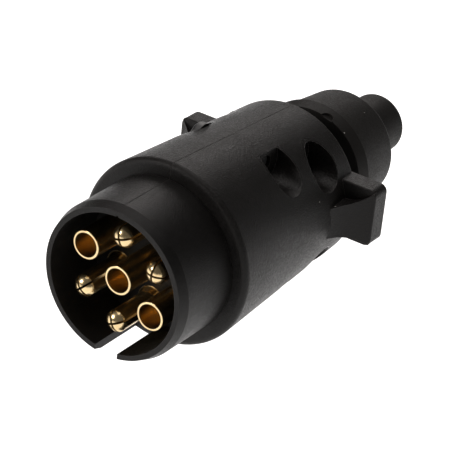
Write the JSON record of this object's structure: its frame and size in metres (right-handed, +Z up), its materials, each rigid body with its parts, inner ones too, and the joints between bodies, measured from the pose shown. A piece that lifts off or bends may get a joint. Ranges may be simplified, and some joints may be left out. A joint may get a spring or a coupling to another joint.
{
  "type": "trailer wiring plug",
  "caption": "Round trailer wiring plug with a keyed shroud, brass pin and socket contacts, a two-half screwed shell with side grip lugs and a rubber cable boot.",
  "frame": {"origin": "centre of the shroud's front face, where the plug meets its socket", "axes": "+X to the lug on the shell half that takes the screw threads, +Y along the plug's axis to the cable, -Y the way it is pushed into the socket, +Z up with the keyway at the bottom and the seam on top"},
  "size_m": [0.0526, 0.1071, 0.043],
  "materials": {
    "shroud_plastic": "satin moulded black plastic",
    "shell_plastic": "fine-grained moulded black plastic",
    "inner_plastic": "plain moulded black plastic",
    "boot_rubber": "matt black rubber",
    "contact_brass": "turned and polished brass",
    "screw_steel": "zinc-plated steel",
    "black_steel": "blackened steel"
  },
  "bodies": {
    "body": {"contact_shroud": "shroud_plastic", "contact_carrier": "shroud_plastic", "retaining_plate": "inner_plastic", "body_half": "shell_plastic", "cable_boot": "boot_rubber", "male_pin_1": "contact_brass", "male_pin_2": "contact_brass", "male_pin_3": "contact_brass", "male_pin_4": "contact_brass", "female_sleeve_1": "contact_brass", "female_sleeve_2": "contact_brass", "female_sleeve_3": "contact_brass", "retainer_screw_1": "screw_steel", "retainer_screw_2": "screw_steel"},
    "cover": {"cover_half": "shell_plastic"},
    "clamp": {"cable_clamp_bar": "inner_plastic"},
    "housing_screw_1": {"housing_screw_1": "black_steel"},
    "housing_screw_2": {"housing_screw_2": "black_steel"},
    "housing_screw_3": {"housing_screw_3": "black_steel"},
    "housing_screw_4": {"housing_screw_4": "black_steel"},
    "clamp_screw_1": {"clamp_screw_1": "screw_steel"},
    "clamp_screw_2": {"clamp_screw_2": "screw_steel"},
    "terminal_screw_1": {"terminal_screw_1": "screw_steel"},
    "terminal_screw_2": {"terminal_screw_2": "screw_steel"},
    "terminal_screw_3": {"terminal_screw_3": "screw_steel"},
    "terminal_screw_4": {"terminal_screw_4": "screw_steel"},
    "terminal_screw_5": {"terminal_screw_5": "screw_steel"},
    "terminal_screw_6": {"terminal_screw_6": "screw_steel"},
    "terminal_screw_7": {"terminal_screw_7": "screw_steel"}
  },
  "joints": [
    {"name": "cover_off", "type": "slide", "parent": "body", "child": "cover", "axis": [-1, 0, 0], "range_m": [0, 0.03]},
    {"name": "clamp_open", "type": "slide", "parent": "body", "child": "clamp", "axis": [-1, 0, 0], "range_m": [0, 0.0012]},
    {"name": "housing_screw_1_out", "type": "slide", "parent": "cover", "child": "housing_screw_1", "axis": [-1, 0, 0], "range_m": [0, 0.014]},
    {"name": "housing_screw_2_out", "type": "slide", "parent": "cover", "child": "housing_screw_2", "axis": [-1, 0, 0], "range_m": [0, 0.014]},
    {"name": "housing_screw_3_out", "type": "slide", "parent": "cover", "child": "housing_screw_3", "axis": [-1, 0, 0], "range_m": [0, 0.014]},
    {"name": "housing_screw_4_out", "type": "slide", "parent": "cover", "child": "housing_screw_4", "axis": [-1, 0, 0], "range_m": [0, 0.014]},
    {"name": "clamp_screw_1_out", "type": "slide", "parent": "clamp", "child": "clamp_screw_1", "axis": [-1, 0, 0], "range_m": [0, 0.003]},
    {"name": "clamp_screw_2_out", "type": "slide", "parent": "clamp", "child": "clamp_screw_2", "axis": [-1, 0, 0], "range_m": [0, 0.003]},
    {"name": "terminal_screw_1_out", "type": "slide", "parent": "body", "child": "terminal_screw_1", "axis": [0, 0, 1], "range_m": [0, 0.0018]},
    {"name": "terminal_screw_2_out", "type": "slide", "parent": "body", "child": "terminal_screw_2", "axis": [0.866, 0, 0.5], "range_m": [0, 0.0018]},
    {"name": "terminal_screw_3_out", "type": "slide", "parent": "body", "child": "terminal_screw_3", "axis": [0, 0, -1], "range_m": [0, 0.0018]},
    {"name": "terminal_screw_4_out", "type": "slide", "parent": "body", "child": "terminal_screw_4", "axis": [-0.866, 0, -0.5], "range_m": [0, 0.0018]},
    {"name": "terminal_screw_5_out", "type": "slide", "parent": "body", "child": "terminal_screw_5", "axis": [0.866, 0, -0.5], "range_m": [0, 0.0018]},
    {"name": "terminal_screw_6_out", "type": "slide", "parent": "body", "child": "terminal_screw_6", "axis": [-0.866, 0, 0.5], "range_m": [0, 0.0018]},
    {"name": "terminal_screw_7_out", "type": "slide", "parent": "body", "child": "terminal_screw_7", "axis": [0, 0, 1], "range_m": [0, 0.0018]}
  ]
}
